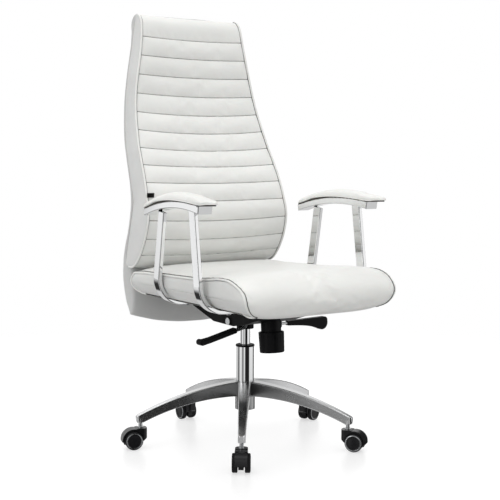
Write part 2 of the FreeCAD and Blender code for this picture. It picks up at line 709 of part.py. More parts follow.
def pad_plan(half, tip):
    """Plan outline of the pad: parallel at the rear, drawn in to a rounded front."""
    s = math.sqrt(0.5)
    edges = lines([(-half, -150), (-half, 68)], on_xy) + lines([(half, -150), (half, 68)], on_xy)
    for side in (-1, 1):
        corner_x = side * (half - 12)
        neck = (side * (half - 13), tip + 10)
        edges += arc((side * half, 68), (corner_x + side * 12 * s, 68 + 12 * s), (corner_x, 80), on_xy)
        edges += curve([(side * half, -150), (side * (half - 3), -215), neck], on_xy)
        edges += arc(neck, (side * (half - 17), tip + 3), (side * (half - 22), tip), on_xy)
    edges += lines([(-half + 12, 80), (half - 12, 80)], on_xy)
    if half == PAD_HALF:
        edges += lines([(-half + 22, tip), (half - 22, tip)], on_xy)
    outline = slab(edges, Z_AXIS, 600, 760)
    outline.translate(V(RAIL_X, 0, 0))
    return outline


def arm_pad():
    """Crowned leather pad on top of its board."""
    low = rail_arc(PAD_BOARD_T + GAP)
    tip = (-271, 682)
    edges = arc(low[0], low[1], low[2], on_yz)
    edges += lines([low[2], (-268.5, 685 + GAP), (-268.5, 682), tip, (tip[0], 689)], on_yz)
    edges += curve([(tip[0], 689), (-200, 701), (-80, 710), (0, 698), (76, 676)], on_yz)
    edges += lines([(76, 676), low[0]], on_yz)
    pad = slab(edges, X_AXIS, RAIL_X - PAD_HALF - 1, RAIL_X + PAD_HALF + 1)
    return pad.common(pad_plan(PAD_HALF, tip[0]))


def arm_screws():
    """Screws that hold both arm frames up against the seat board."""
    screws = []
    for y in LEG_FEET:
        for x in SCREW_X:
            shank = cylinder(SCREW_R, FOOT_Z - 1, FOOT_Z + LEG_T, x, y)
            head = cylinder(6.5, FOOT_Z - 4, FOOT_Z - 1, x, y)
            head = head.makeFillet(1.5, [e for e in head.Edges if e.Closed and e.BoundBox.ZMax < FOOT_Z - 3])
            washer = cylinder(6.5, FOOT_Z - 1, FOOT_Z, x, y)
            screws.append(splayed(fused([shank, head, washer])))
    return Part.makeCompound(screws + [mirrored(screw) for screw in screws])


def splayed(shape):
    return turned(shape, ARM_SPLAY, Z_AXIS, V(RAIL_X, ARM_MID_Y, 0))


def main():
    nodes = {
        "star_base": star_base(),
        "gas_lift_tube": gas_lift_tube(),
        "guide_bush": guide_bush(),
        "thrust_bearing": thrust_bearing(),
        "piston_rod": piston_rod(),
        "rod_clip": rod_clip(),
        "rubber_buffer": rubber_buffer(),
        "gas_cylinder": gas_cylinder(),
        "release_button": release_button(),
        "tilt_yoke": tilt_yoke(),
        "tilt_housing": tilt_housing(),
        "pivot_pin": pivot_pin(),
        "spring_cup": spring_cup(),
        "tilt_spring": tilt_spring(),
        "tension_bolt": tension_bolt(),
        "tension_knob": tension_knob(),
        "height_lever": height_lever(),
        "height_lever_grip": height_lever_grip(),
        "tilt_lock_lever": tilt_lock_lever(),
        "tilt_lock_paddle": tilt_lock_paddle(),
        "seat_plate": seat_plate(),
        "seat_plate_bolts": seat_plate_bolts(),
        "seat_board": seat_board(),
        "seat_cushion": seat_cushion(),
        "back_board": back_board(),
        "back_bars": back_bars(),
        "back_cushion": back_cushion(),
        "back_shell": back_shell(),
        "arm_screws": arm_screws(),
    }
    arm = {"arm_frame": arm_frame(), "arm_pad_board": arm_pad_board(), "arm_pad": arm_pad()}
    for name, shape in arm.items():
        nodes[name + "_left"] = splayed(shape)
        nodes[name + "_right"] = mirrored(splayed(shape))
    for number, angle in enumerate(ARM_ANGLES, 1):
        nodes.update(caster(number, angle))
    os.makedirs("parts", exist_ok=True)
    for name, shape in nodes.items():
        kind = "" if shape.isValid() and all(s.isClosed() for s in shape.Solids) else "  NOT VALID"
        print("%-20s solids %2d  volume %9.0f%s" % (name, len(shape.Solids), shape.Volume, kind))
        shape.exportStep("parts/%s.step" % name)


main()
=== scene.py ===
import json
import math
import bmesh
import bpy
import numpy as np
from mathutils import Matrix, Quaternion, Vector, noise


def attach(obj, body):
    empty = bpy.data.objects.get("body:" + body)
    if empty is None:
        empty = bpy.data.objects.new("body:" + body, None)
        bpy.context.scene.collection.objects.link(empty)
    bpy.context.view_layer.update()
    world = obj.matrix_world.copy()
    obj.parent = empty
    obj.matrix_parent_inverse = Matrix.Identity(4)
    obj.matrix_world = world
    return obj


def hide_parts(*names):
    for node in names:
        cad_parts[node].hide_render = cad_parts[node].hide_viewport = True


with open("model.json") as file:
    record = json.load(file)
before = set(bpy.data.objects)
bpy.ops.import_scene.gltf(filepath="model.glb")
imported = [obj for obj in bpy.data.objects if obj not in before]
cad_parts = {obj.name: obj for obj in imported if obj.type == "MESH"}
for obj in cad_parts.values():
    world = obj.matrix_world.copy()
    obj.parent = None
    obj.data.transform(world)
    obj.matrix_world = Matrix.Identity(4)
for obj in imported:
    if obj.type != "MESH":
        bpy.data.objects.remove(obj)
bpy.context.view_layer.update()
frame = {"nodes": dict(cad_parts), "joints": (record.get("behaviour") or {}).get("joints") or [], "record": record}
scene = bpy.context.scene

MM = 0.001


# ---- helpers -----------------------------------------------------------------

def smoothstep(t):
    t = np.clip(t, 0.0, 1.0)
    return t * t * (3 - 2 * t)


def spline_points(points, count):
    """Evenly spaced points on a smooth Catmull-Rom curve through the given points."""
    p = np.array(points, float)
    p = np.vstack([2 * p[0] - p[1], p, 2 * p[-1] - p[-2]])
    fine = []
    for i in range(1, len(p) - 2):
        t = np.linspace(0, 1, 24, endpoint=False)[:, None]
        a, b, c, d = p[i - 1], p[i], p[i + 1], p[i + 2]
        square = (2 * a - 5 * b + 4 * c - d) * t**2
        cube = (3 * b - a - 3 * c + d) * t**3
        fine.append(0.5 * (2 * b + (c - a) * t + square + cube))
    fine.append(p[-2][None, :])
    fine = np.vstack(fine)
    run = np.concatenate([[0], np.cumsum(np.linalg.norm(np.diff(fine, axis=0), axis=1))])
    at = np.linspace(0, run[-1], count)
    return np.stack([np.interp(at, run, fine[:, k]) for k in range(fine.shape[1])], axis=1)


def mesh_piece(name, verts, faces, material=None):
    """New smooth-shaded object in the scene."""
    mesh = bpy.data.meshes.new(name)
    mesh.from_pydata([tuple(v) for v in verts], [], [tuple(f) for f in faces])
    mesh.validate()
    piece = bpy.data.objects.new(name, mesh)
    scene.collection.objects.link(piece)
    if material:
        mesh.materials.append(material)
    mesh.polygons.foreach_set("use_smooth", [True] * len(mesh.polygons))
    return piece


def grid_faces(rows, cols, wrap=False, flip=False, offset=0):
    """Quads of a rows x cols grid of vertices; wrap joins the last column to the first."""
    faces = []
    for r in range(rows - 1):
        for c in range(cols if wrap else cols - 1):
            a = offset + r * cols + c
            b = offset + r * cols + (c + 1) % cols
            quad = (a, b, b + cols, a + cols)
            faces.append(quad[::-1] if flip else quad)
    return faces


def lumps(points, scale, seed):
    """Smooth noise from -1 to 1 at each point."""
    shift = Vector((seed * 7.31, seed * 3.17, seed * 1.93))
    return np.array([noise.noise(Vector(p) / scale + shift) for p in points])


def vertex_normals(piece):
    mesh = piece.data
    out = np.zeros(len(mesh.vertices) * 3)
    mesh.vertex_normals.foreach_get("vector", out)
    return out.reshape(-1, 3)


def get_points(piece):
    out = np.zeros(len(piece.data.vertices) * 3)
    piece.data.vertices.foreach_get("co", out)
    return out.reshape(-1, 3)


def set_points(piece, points):
    piece.data.vertices.foreach_set("co", np.asarray(points, float).ravel())
    piece.data.update()


def cloth_pass(piece, pinned, pressure, cap, slack=0.02, frames=20, bending=0.5):
    """Inflates the piece as cloth with the pinned vertices held, and keeps the result in its mesh."""
    start = get_points(piece)
    group = piece.vertex_groups.new(name="pinned")
    group.add([int(i) for i in np.nonzero(pinned)[0]], 1.0, "REPLACE")
    cloth = piece.modifiers.new("cloth", "CLOTH")
    settings = cloth.settings
    settings.quality = 5
    settings.mass = 0.3
    settings.tension_stiffness = 15
    settings.compression_stiffness = 15
    settings.shear_stiffness = 5
    settings.bending_stiffness = bending
    settings.use_pressure = True
    settings.uniform_pressure_force = pressure
    settings.vertex_group_mass = "pinned"
    settings.pin_stiffness = 1.0
    settings.shrink_min = -slack
    settings.effector_weights.gravity = 0.0
    cloth.collision_settings.use_collision = False
    cloth.collision_settings.use_self_collision = False
    cloth.point_cache.frame_start = 1
    cloth.point_cache.frame_end = frames
    for step in range(1, frames + 1):
        scene.frame_set(step)
    evaluated = piece.evaluated_get(bpy.context.evaluated_depsgraph_get())
    moved = np.array([v.co for v in evaluated.data.vertices])
    shift = moved - start
    length = np.linalg.norm(shift, axis=1)[:, None]
    limit = cap * np.tanh(length / cap)
    set_points(piece, start + shift * np.where(length > 1e-9, limit / np.maximum(length, 1e-9), 0))
    piece.modifiers.remove(cloth)
    piece.vertex_groups.remove(group)
    scene.frame_set(1)


def apply_subdivision(piece):
    modifier = piece.modifiers.new("fine", "SUBSURF")
    modifier.levels = 1
    modifier.render_levels = 1
    bake_modifiers(piece)


def bake_modifiers(piece):
    graph = bpy.context.evaluated_depsgraph_get()
    graph.update()
    mesh = bpy.data.meshes.new_from_object(piece.evaluated_get(graph), depsgraph=graph)
    old = piece.data
    piece.modifiers.clear()
    piece.data = mesh
    bpy.data.meshes.remove(old)
    mesh.polygons.foreach_set("use_smooth", [True] * len(mesh.polygons))


def tube(name, line, radius, material, sides=10, closed=False):
    """Round cord swept along a line of points."""
    line = np.asarray(line, float)
    count = len(line)
    if closed:
        tangents = np.roll(line, -1, axis=0) - np.roll(line, 1, axis=0)
    else:
        tangents = np.gradient(line, axis=0)
    tangents /= np.linalg.norm(tangents, axis=1)[:, None]
    normal = np.cross(tangents[0], (0.3, 0.2, 0.93))
    normal /= np.linalg.norm(normal)
    verts = []
    for i in range(count):
        normal = normal - tangents[i] * normal.dot(tangents[i])
        normal /= np.linalg.norm(normal)
        other = np.cross(tangents[i], normal)
        for k in range(sides):
            angle = 2 * math.pi * k / sides
            verts.append(line[i] + radius * (math.cos(angle) * normal + math.sin(angle) * other))
    faces = grid_faces(count, sides, wrap=True)
    if closed:
        last = (count - 1) * sides
        faces += [(last + k, last + (k + 1) % sides, (k + 1) % sides, k) for k in range(sides)]
    else:
        for base, order in ((0, -1), (len(verts) - sides, 1)):
            faces.append([base + k for k in range(sides)][::order])
    return mesh_piece(name, verts, faces, material)


# Rings of one stitch: place along it, share of the radius, and depth in radii
STITCH_RINGS = ((0.0, 0.45, -0.9), (0.2, 1.0, 0.0), (0.8, 1.0, 0.0), (1.0, 0.45, -0.9))
STITCH_SIDES = 5


def stitches(name, lines, normals, pitch, radius, material):
    """A row of short thread stitches lying along each line of surface points."""
    verts = []
    faces = []
    for line, up in zip(lines, normals):
        line = np.asarray(line)
        run = np.concatenate([[0], np.cumsum(np.linalg.norm(np.diff(line, axis=0), axis=1))])
        for at in np.arange(pitch, run[-1] - pitch, pitch):
            tail = np.array([np.interp(at - pitch * 0.36, run, line[:, k]) for k in range(3)])
            head = np.array([np.interp(at + pitch * 0.36, run, line[:, k]) for k in range(3)])
            lift = np.array([np.interp(at, run, up[:, k]) for k in range(3)])
            along = head - tail
            length = np.linalg.norm(along)
            if length < 1e-7:
                continue
            along /= length
            side = np.cross(along, lift)
            side /= max(np.linalg.norm(side), 1e-9)
            top = np.cross(side, along)
            first = len(verts)
            for where, size, sink in STITCH_RINGS:
                centre = tail + (head - tail) * where + top * radius * sink
                for k in range(STITCH_SIDES):
                    angle = 2 * math.pi * k / STITCH_SIDES
                    spoke = math.cos(angle) * side + math.sin(angle) * top
                    verts.append(centre + radius * size * spoke)
            last = first + (len(STITCH_RINGS) - 1) * STITCH_SIDES
            faces += grid_faces(len(STITCH_RINGS), STITCH_SIDES, wrap=True, offset=first)
            faces.append([first + k for k in range(STITCH_SIDES)][::-1])
            faces.append([last + k for k in range(STITCH_SIDES)])
    return mesh_piece(name, verts, faces, material)


# ---- materials ---------------------------------------------------------------

LEATHER_GRAIN = 900.0   # pebble cells per metre


class Nodes:
    """Small helper that builds one procedural material."""

    def __init__(self, name):
        self.material = bpy.data.materials.new(name)
        self.material.use_nodes = True
        self.tree = self.material.node_tree
        self.shader = self.tree.nodes["Principled BSDF"]
        self.place = self.add("ShaderNodeTexCoord").outputs["Object"]

    def add(self, kind, **values):
        node = self.tree.nodes.new(kind)
        for key, value in values.items():
            if hasattr(node, key):
                setattr(node, key, value)
            else:
                node.inputs[key].default_value = value
        return node

    def link(self, output, target):
        self.tree.links.new(output, target)

    def texture(self, kind, stretch=(1, 1, 1), **values):
        node = self.add(kind, **values)
        if stretch == (1, 1, 1):
            self.link(self.place, node.inputs["Vector"])
            return node
        mapping = self.add("ShaderNodeMapping")
        mapping.inputs["Scale"].default_value = stretch
        self.link(self.place, mapping.inputs["Vector"])
        self.link(mapping.outputs["Vector"], node.inputs["Vector"])
        return node

    def ramp(self, source, stops):
        node = self.add("ShaderNodeValToRGB")
        elements = node.color_ramp.elements
        for index, (position, colour) in enumerate(stops):
            element = elements[index] if index < 2 else elements.new(position)
            element.position = position
            element.color = (*colour, 1) if isinstance(colour, tuple) else (colour, colour, colour, 1)
        self.link(source, node.inputs["Fac"])
        return node.outputs["Color"]

    def combine(self, operation, a, b):
        node = self.add("ShaderNodeMath", operation=operation)
        for index, value in enumerate((a, b)):
            if isinstance(value, (int, float)):
                node.inputs[index].default_value = value
            else:
                self.link(value, node.inputs[index])
        return node.outputs["Value"]

    def bump(self, height, strength, distance, previous=None):
        node = self.add("ShaderNodeBump", Strength=strength, Distance=distance)
        self.link(height, node.inputs["Height"])
        if previous is not None:
            self.link(previous, node.inputs["Normal"])
        return node.outputs["Normal"]

    def finish(self, colour=None, rough=None, normal=None, **values):
        for output, socket in ((colour, "Base Color"), (rough, "Roughness"), (normal, "Normal")):
            if output is not None:
                self.link(output, self.shader.inputs[socket])
        for key, value in values.items():
            self.shader.inputs[key.replace("_", " ")].default_value = value
        return self.material


def leather(name, light, dark):
    """Fine-grained leather: pebble cells, pores, soft creases and slight mottling."""
    n = Nodes(name)
    pebble = n.texture("ShaderNodeTexVoronoi", Scale=LEATHER_GRAIN, feature="DISTANCE_TO_EDGE")
    fine = n.texture("ShaderNodeTexNoise", Scale=LEATHER_GRAIN * 1.7, Detail=4.0)
    crease = n.texture("ShaderNodeTexNoise", (1, 1, 2.2), Scale=42.0, Detail=6.0, Roughness=0.62,
                       Distortion=0.5)
    broad = n.texture("ShaderNodeTexNoise", Scale=9.0, Detail=3.0)
    mottle = n.combine("ADD", n.combine("MULTIPLY", broad.outputs["Fac"], 0.7),
                       n.combine("MULTIPLY", crease.outputs["Fac"], 0.3))
    colour = n.ramp(mottle, ((0.34, dark), (0.66, light)))
    wear = n.combine("ADD", n.combine("MULTIPLY", fine.outputs["Fac"], 0.5),
                     n.combine("MULTIPLY", crease.outputs["Fac"], 0.5))
    rough = n.ramp(wear, ((0.3, 0.36), (0.7, 0.52)))
    cells = n.ramp(pebble.outputs["Distance"], ((0.0, 0.0), (0.35, 1.0)))
    normal = n.bump(crease.outputs["Fac"], 0.22, 0.0008)
    normal = n.bump(cells, 0.30, 0.00022, normal)
    normal = n.bump(fine.outputs["Fac"], 0.20, 0.00012, normal)
    return n.finish(colour, rough, normal, Sheen_Weight=0.08, Sheen_Roughness=0.4, Coat_Weight=0.12,
                    Coat_Roughness=0.35, Specular_IOR_Level=0.45, Subsurface_Weight=0.03,
                    Subsurface_Scale=0.004)


def metal(name, colour, rough, brushed=(1, 1, 1), depth=0.00002, spread=0.05, hub_shade=1.0):
    """Metal with a faint surface texture and uneven gloss; hub_shade darkens it near the Z axis."""
    n = Nodes(name)
    grain = n.texture("ShaderNodeTexNoise", brushed, Scale=260.0, Detail=5.0, Roughness=0.7)
    smear = n.texture("ShaderNodeTexNoise", Scale=18.0, Detail=4.0, Roughness=0.6)
    mix = n.combine("ADD", n.combine("MULTIPLY", grain.outputs["Fac"], 0.45),
                    n.combine("MULTIPLY", smear.outputs["Fac"], 0.55))
    gloss = n.ramp(mix, ((0.3, max(rough - spread, 0.01)), (0.7, rough + spread)))
    tint = n.ramp(mix, ((0.25, tuple(c * 0.94 for c in colour)), (0.75, colour)))
    if hub_shade < 1:
        flat = n.add("ShaderNodeVectorMath", operation="MULTIPLY")
        flat.inputs[1].default_value = (1, 1, 0)
        n.link(n.place, flat.inputs[0])
        reach = n.add("ShaderNodeVectorMath", operation="LENGTH")
        n.link(flat.outputs[0], reach.inputs[0])
        scaled = n.combine("MULTIPLY", reach.outputs["Value"], 3.0)
        shade = n.ramp(scaled, ((0.08, hub_shade), (0.62, 1.0)))
        blend = n.add("ShaderNodeMix", data_type="RGBA", blend_type="MULTIPLY")
        blend.inputs["Factor"].default_value = 1.0
        n.link(tint, blend.inputs["A"])
        n.link(shade, blend.inputs["B"])
        tint = blend.outputs["Result"]
    normal = n.bump(grain.outputs["Fac"], 0.2, depth)
    return n.finish(tint, gloss, normal, Metallic=1.0)


def plastic(name, colour, rough, grain=1400.0, depth=0.00008, coat=0.0):
    """Moulded plastic with a fine spark-eroded grain and rubbed patches."""
    n = Nodes(name)
    cells = n.texture("ShaderNodeTexVoronoi", Scale=grain)
    cloud = n.texture("ShaderNodeTexNoise", Scale=35.0, Detail=5.0, Roughness=0.65)
    dark = tuple(c * 0.75 for c in colour)
    light = tuple(c * 1.5 for c in colour)
    tint = n.ramp(cloud.outputs["Fac"], ((0.3, dark), (0.72, light)))
    gloss = n.ramp(cloud.outputs["Fac"], ((0.3, rough - 0.08), (0.7, rough + 0.1)))
    normal = n.bump(cells.outputs["Distance"], 0.35, depth)
    return n.finish(tint, gloss, normal, Coat_Weight=coat, Coat_Roughness=0.2, Specular_IOR_Level=0.11)


def plywood(name):
    n = Nodes(name)
    rings = n.texture("ShaderNodeTexNoise", (1.5, 14, 60), Scale=9.0, Detail=8.0, Roughness=0.6)
    plies = n.texture("ShaderNodeTexWave", Scale=160.0, Distortion=0.4, bands_direction="Z")
    mix = n.combine("ADD", n.combine("MULTIPLY", rings.outputs["Fac"], 0.8),
                    n.combine("MULTIPLY", plies.outputs["Fac"], 0.2))
    tint = n.ramp(mix, ((0.3, (0.035, 0.03, 0.026)), (0.7, (0.085, 0.072, 0.06))))
    normal = n.bump(mix, 0.3, 0.0003)
    return n.finish(tint, None, normal, Roughness=0.75)


def thread(name, colour, sheen=0.2):
    n = Nodes(name)
    twist = n.texture("ShaderNodeTexWave", Scale=900.0, Distortion=1.0, bands_direction="DIAGONAL")
    tint = n.ramp(twist.outputs["Fac"], ((0.2, tuple(c * 0.7 for c in colour)), (0.8, colour)))
    normal = n.bump(twist.outputs["Fac"], 0.4, 0.0001)
    return n.finish(tint, None, normal, Roughness=0.6, Sheen_Weight=sheen, Specular_IOR_Level=0.1)


WHITE = leather("white_leather", (0.76, 0.762, 0.738), (0.72, 0.722, 0.70))
GREY_WHITE = leather("side_leather", (0.67, 0.672, 0.656), (0.62, 0.622, 0.608))
GUSSET = leather("gusset_leather", (0.66, 0.662, 0.652), (0.60, 0.602, 0.592))
GREY = leather("grey_leather", (0.57, 0.572, 0.565), (0.51, 0.512, 0.506))
CHROME = metal("chrome", (0.90, 0.905, 0.91), 0.035, depth=0.000004, spread=0.015)
CAST = metal("polished_aluminium", (0.82, 0.825, 0.83), 0.25, (3, 3, 0.6), 0.00002, hub_shade=0.55)
STEEL = metal("turned_steel", (0.62, 0.63, 0.64), 0.26, (1, 1, 6))
SCREW = metal("screw_steel", (0.5, 0.5, 0.51), 0.3)
BLACK_STEEL = plastic("black_paint", (0.004, 0.004, 0.0045), 0.45, 700.0, 0.00012)
BLACK = plastic("black_plastic", (0.0035, 0.0035, 0.004), 0.42)
HOOD = plastic("caster_plastic", (0.008, 0.008, 0.009), 0.30, 1800.0, 0.00004, coat=0.35)
TYRE = plastic("tyre", (0.012, 0.012, 0.013), 0.6, 1000.0, 0.0001)
RING = metal("wheel_ring", (0.40, 0.41, 0.42), 0.25)
# Dark leather for the cords in the seam grooves and the tubes beside the pipings: painted shade, not a colour of
# the leather.
SEAM_SHADE = leather("painted_seam_shade", (0.085, 0.085, 0.082), (0.05, 0.05, 0.048))
RUBBER = plastic("rubber", (0.01, 0.01, 0.01), 0.7)
PLY = plywood("plywood")
THREAD = thread("white_thread", (0.72, 0.72, 0.70))
TAB_CLOTH = thread("black_tape", (0.004, 0.004, 0.004), 0.0)

NODE_MATERIALS = {
    "base_metal": CAST,
    "bright_chrome": CHROME,
    "machined_steel": STEEL,
    "screw_steel": SCREW,
    "black_plastic": BLACK,
    "caster_plastic": HOOD,
    "caster_tyre": TYRE,
    "black_rubber": RUBBER,
    "black_steel": BLACK_STEEL,
    "plywood": PLY,
    "white_leather": WHITE,
    "grey_leather": GREY,
}


def dress_cad_nodes():
    for part in frame["record"]["subparts"]:
        node = frame["nodes"][part["node"]]
        material = NODE_MATERIALS[part["material_slot"]]
        node.data.materials.clear()
        node.data.materials.append(material)


# ---- back --------------------------------------------------------------------

# Line of the front piping from the foot to the top, as Y and Z in millimetres
BACK_EDGE = [
    (238, 489), (212, 490), (187, 508), (162, 540), (141, 582), (129, 634), (141, 687), (160, 739),
    (184, 788), (208, 834), (228, 882), (247, 934), (259, 985), (265, 1037), (269, 1091),
    (275, 1146), (279, 1170), (285, 1191), (296, 1205), (311, 1211),
]
# Line where the side gusset meets the shell
GUSSET_REAR = [
    (248, 494), (254, 506), (247, 545), (236, 590), (228, 630), (223, 680), (243, 735), (270, 799),
    (293, 856), (315, 950), (326, 1040), (329, 1110), (327, 1155), (322, 1192), (317, 1209),
]
# Rear of the shell, from the foot of its skirt to the top
SHELL_REAR = [
    (250, 312), (266, 332), (281, 372), (297, 425), (297, 470), (281, 540), (262, 590), (253, 645),
    (255, 690), (271, 755), (310, 856), (335, 960), (344, 1040), (343, 1110), (342, 1157),
    (350, 1183), (345, 1200), (332, 1210), (318, 1212),
]
SHELL_FRONT = [(242, 314), (240, 400), (242, 470), (250, 500)]
HALF_WIDTH = [(486, 240), (600, 238), (788, 227), (960, 206), (1110, 179), (1175, 171), (1215, 168)]
SEAMS = 13              # seams across the front of the back, between fourteen ribs
SEAM_FOOT_Z = 0.525
SEAM_TOP_Z = 1.146
# Rows of vertices within one rib, as shares of its height
RIB_ROWS = (0, 0.018, 0.045, 0.09, 0.16, 0.25, 0.37, 0.5, 0.63, 0.75, 0.84, 0.91, 0.955, 0.982)
# Puckers beside a seam: rows away from it, and height in metres
PUCKERS = ((1, 0.0001), (2, 0.00025), (3, 0.0003), (4, 0.0002))


def half_width(z):
    line = spline_points(HALF_WIDTH, 200) * MM
    return np.interp(z, line[:, 0], line[:, 1])


def seam_droop(z):
    """How far a seam hangs at its middle."""
    return 0.0045 + 0.0070 * np.exp(-((z - 0.84) / 0.13) ** 2)


def back_front():
    """Ribbed front panel: seams pinned, ribs blown up between them, then grooves, each lined with a dark cord that
    is painted shade.
    """
    path = spline_points(BACK_EDGE, 2400) * MM
    run = np.concatenate([[0], np.cumsum(np.linalg.norm(np.diff(path, axis=0), axis=1))])
    start = run[np.argmin(abs(path[:, 1] - SEAM_FOOT_Z) + (path[:, 0] > 0.25))]
    end = run[np.argmin(abs(path[:, 1] - SEAM_TOP_Z))]
    seams = np.linspace(start, end, SEAMS)
    marks = [0.0] + list(seams) + [run[-1]]
    spread = np.array(RIB_ROWS)
    stations = []
    seam_rows = []
    for a, b in zip(marks, marks[1:]):
        if a > 0:
            seam_rows.append(len(stations))
        stations += list(a + (b - a) * spread)
    stations.append(run[-1])
    stations = np.array(stations)
    ys = np.interp(stations, run, path[:, 0])
    zs = np.interp(stations, run, path[:, 1])
    tangent = np.stack([np.gradient(ys, stations), np.gradient(zs, stations)], 1)
    tangent /= np.linalg.norm(tangent, axis=1)[:, None]
    outward = np.stack([-tangent[:, 1], tangent[:, 0]], 1)
    rows, cols = len(stations), 97
    across = np.linspace(-1, 1, cols)
    across = np.sign(across) * (1 - (1 - abs(across)) ** 1.25)
    phase = np.interp(stations, marks, np.arange(len(marks)))
    puff = abs(np.sin(math.pi * phase)) ** 0.62
    amount = np.where(stations > seams[-1], 0.0045, 0.0068)
    verts = []
    for r in range(rows):
        width = half_width(zs[r])
        belly = 0.010 * math.exp(-(((zs[r] - 0.66) / 0.16) ** 2)) - 0.001
        for u in across:
            fade = 1 - abs(u) ** 7
            ease = 1 - u * u
            lift = puff[r] * amount[r] * fade + belly * ease - 0.0035 * abs(u) ** 60
            droop = seam_droop(zs[r]) * ease * (1 if 0.52 < zs[r] < 1.16 else 0.3)
            verts.append((u * width, ys[r] + outward[r, 0] * lift, zs[r] + outward[r, 1] * lift - droop))
    piece = mesh_piece("back_ribbed_front", verts, grid_faces(rows, cols), WHITE)
    pinned = np.zeros((rows, cols), bool)
    pinned[:, [0, -1]] = True
    pinned[[0, -1], :] = True
    pinned[seam_rows, :] = True
    cloth_pass(piece, pinned.ravel(), 2.0, 0.0022, slack=0.003, bending=5.0)
    points = get_points(piece).reshape(rows, cols, 3)
    normals = vertex_normals(piece).reshape(rows, cols, 3)
    inner = 1 - np.abs(across) ** 24
    base = points.copy()
    for row in seam_rows:
        points[row] -= normals[row] * 0.0030 * inner[:, None]
        for step, size in PUCKERS:
            for near in (row - step, row + step):
                pucker = lumps(base[near] * (1, 0.3, 0.3), 0.014, row)[:, None]
                points[near] += normals[near] * size * pucker * inner[:, None]
    set_points(piece, points.reshape(-1, 3))
    seam_shades = []
    # A thin dark cord in each seam groove: painted shade in the seams.
    for number, row in enumerate(seam_rows, 1):
        line = points[row] + normals[row] * 0.0012
        seam_shades.append(tube("back_seam_%d" % number, line, 0.0009, SEAM_SHADE, sides=8))
    apply_subdivision(piece)
    return piece, seam_shades


def side_line(points, count, grow=0.0):
    """A side profile as 3-D points on the sitter's left, at the half width of its height."""
    line = spline_points(points, count) * MM
    return np.stack([half_width(line[:, 1]) + grow, line[:, 0], line[:, 1]], 1)


def back_gusset(side):
    """Grey strip between the piping and the shell: a soft roll, small creases and a sewn row."""
    rows, cols = 170, 21
    seam = 3
    front = side_line(BACK_EDGE, rows)
    rear = side_line(GUSSET_REAR, rows)
    across = np.linspace(0, 1, cols)
    across = across - 0.09 * np.sin(2 * np.pi * across)
    verts = []
    for r in range(rows):
        for t in across:
            point = front[r] * (1 - t) + rear[r] * t
            point[0] += 0.0042 * math.sin(math.pi * t) ** 0.7 - 0.003 * abs(2 * t - 1) ** 40
            verts.append(point)
    verts = np.array(verts)
    roll = np.tile(np.sin(np.pi * across), rows)
    verts[:, 0] += 0.0011 * lumps(verts * (1, 1, 0.5), 0.03, 5 + side) * roll
    grid = verts.reshape(rows, cols, 3)
    grid[:, seam, 0] -= 0.0009
    verts[:, 0] *= side
    word = "left" if side > 0 else "right"
    piece = mesh_piece("back_gusset_" + word, verts, grid_faces(rows, cols, flip=side < 0), GUSSET)
    lines = [grid[4:-3, seam] + (side * 0.0004, 0, 0)]
    ups = [np.tile((float(side), 0, 0), (rows - 7, 1))]
    sewn = stitches("back_gusset_stitches_" + word, lines, ups, 0.0055, 0.00045, THREAD)
    apply_subdivision(piece)
    return piece, sewn


def back_shell():
    """Padded rear shell: a closed sweep of its side profile with soft rounded side edges."""
    rear = spline_points(SHELL_REAR, 170) * MM
    face = (spline_points([(x + 1.5, z) for x, z in GUSSET_REAR], 90) * MM)[::-1]
    skirt = (spline_points(SHELL_FRONT, 24) * MM)[::-1]
    loop = np.vstack([rear, face[1:], skirt[1:]])
    middle = []
    for y, z in loop:
        inside = face[::-1] if z > 0.5 else skirt[::-1]
        inner_y = np.interp(z, inside[:, 1], inside[:, 0])
        outer_y = np.interp(z, rear[:, 1], rear[:, 0]) if z < 1.17 else 0.345
        middle.append(((inner_y + outer_y) / 2, z))
    middle = np.array(middle)
    cols = 61
    rows = len(loop)
    verts = []
    for r, (y, z) in enumerate(loop):
        width = half_width(max(z, 0.488)) - 0.004 - 0.004 * smoothstep((0.49 - z) / 0.1)
        bulb = smoothstep((z - 1.10) / 0.05)
        width += 0.0035 * bulb
        edge = 0.014 - 0.009 * bulb
        for u in np.linspace(-1, 1, cols):
            u = math.sin(u * math.pi / 2) * 0.55 + u * 0.45
            x = u * width
            near = max(0.0, abs(x) - (width - edge)) / edge
            shrink = 1 - math.sqrt(max(0.0, 1 - near * near))
            yy = y + (middle[r, 0] - y) * shrink * (0.92 - 0.62 * bulb)
            zz = z
            if z < 0.40:
                drop = 0.036 * (u * u) ** 1.1 * smoothstep((0.40 - z) / 0.085)
                zz = z + drop
            if r < len(rear):
                crown = smoothstep((z - 0.45) / 0.15) * (1 - smoothstep((z - 1.05) / 0.12))
                yy += 0.004 * crown * (1 - u * u) * (1 - near)
            verts.append((x, yy, zz))
    verts = np.array(verts)
    faces = grid_faces(rows, cols)
    faces += [((rows - 1) * cols + c, (rows - 1) * cols + c + 1, c + 1, c) for c in range(cols - 1)]
    piece = mesh_piece("back_shell_cover", verts, faces, GREY)
    close_ends(piece)
    outward = vertex_normals(piece)
    points = get_points(piece)
    set_points(piece, points + outward * (0.0011 * lumps(points * (1, 1, 0.6), 0.05, 11))[:, None])
    apply_subdivision(piece)
    return piece


def close_ends(piece):
    """Fills open borders and turns the normals outwards."""
    mesh = bmesh.new()
    mesh.from_mesh(piece.data)
    borders = [e for e in mesh.edges if e.is_boundary]
    bmesh.ops.holes_fill(mesh, edges=borders, sides=0)
    bmesh.ops.triangulate(mesh, faces=[f for f in mesh.faces if len(f.verts) > 4])
    bmesh.ops.recalc_face_normals(mesh, faces=mesh.faces)
    mesh.to_mesh(piece.data)
    mesh.free()
    piece.data.polygons.foreach_set("use_smooth", [True] * len(piece.data.polygons))


